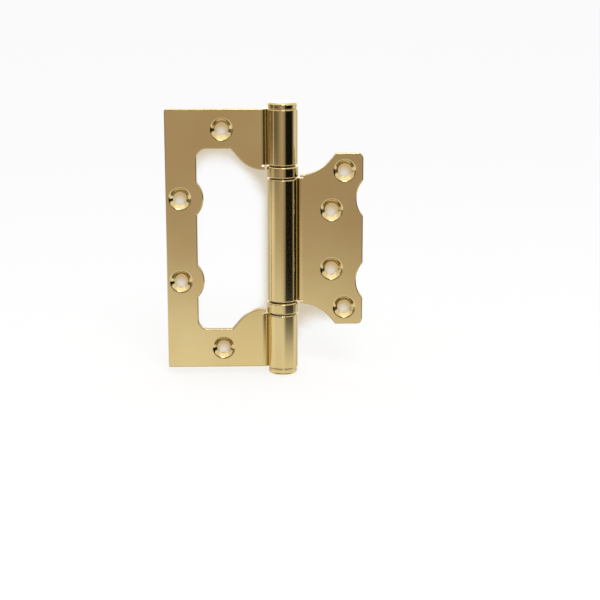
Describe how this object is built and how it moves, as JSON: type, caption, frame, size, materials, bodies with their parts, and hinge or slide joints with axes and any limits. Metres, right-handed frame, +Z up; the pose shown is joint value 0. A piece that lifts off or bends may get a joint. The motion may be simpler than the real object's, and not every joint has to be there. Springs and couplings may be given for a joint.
{
  "type": "non-mortise hinge",
  "caption": "Non-mortise door hinge: a windowed outer leaf takes the smaller inner leaf when closed, with rolled knuckles, ball thrust bearings and flat button caps on the pin.",
  "frame": {"origin": "midway between the end holes of the outer leaf, on the leaf's mounting face", "axes": "+Z up along the pin, +Y out of the mounting faces, away from the countersinks, +X from the outer leaf across the pin to the inner leaf"},
  "size_m": [0.0748, 0.0119, 0.105],
  "materials": {
    "brass_plate": "polished brass plating over steel",
    "pin_steel": "ground",
    "bearing_steel": "polished"
  },
  "bodies": {
    "outer": {"outer_leaf": "brass_plate", "hinge_pin": "pin_steel", "top_cap": "brass_plate", "bottom_cap": "brass_plate", "upper_bearing_shell": "brass_plate", "lower_bearing_shell": "brass_plate", "upper_fixed_race": "bearing_steel", "lower_fixed_race": "bearing_steel"},
    "inner": {"inner_leaf": "brass_plate", "upper_moving_race": "bearing_steel", "lower_moving_race": "bearing_steel"},
    "upper_balls": {"upper_bearing_balls": "bearing_steel"},
    "lower_balls": {"lower_bearing_balls": "bearing_steel"}
  },
  "joints": [
    {"name": "leaf_swing", "type": "hinge", "parent": "outer", "child": "inner", "pos_m": [0.0228, -0.00125, 0], "axis": [0, 0, -1], "range_deg": [-90, 180]},
    {"name": "upper_ball_roll", "type": "hinge", "parent": "outer", "child": "upper_balls", "pos_m": [0.0228, -0.00125, 0], "axis": [0, 0, -1], "range_deg": [-45, 90]},
    {"name": "lower_ball_roll", "type": "hinge", "parent": "outer", "child": "lower_balls", "pos_m": [0.0228, -0.00125, 0], "axis": [0, 0, -1], "range_deg": [-45, 90]}
  ],
  "couplings": [
    {"joint": "upper_ball_roll", "follows": "leaf_swing", "ratio": 0.5},
    {"joint": "lower_ball_roll", "follows": "leaf_swing", "ratio": 0.5}
  ]
}
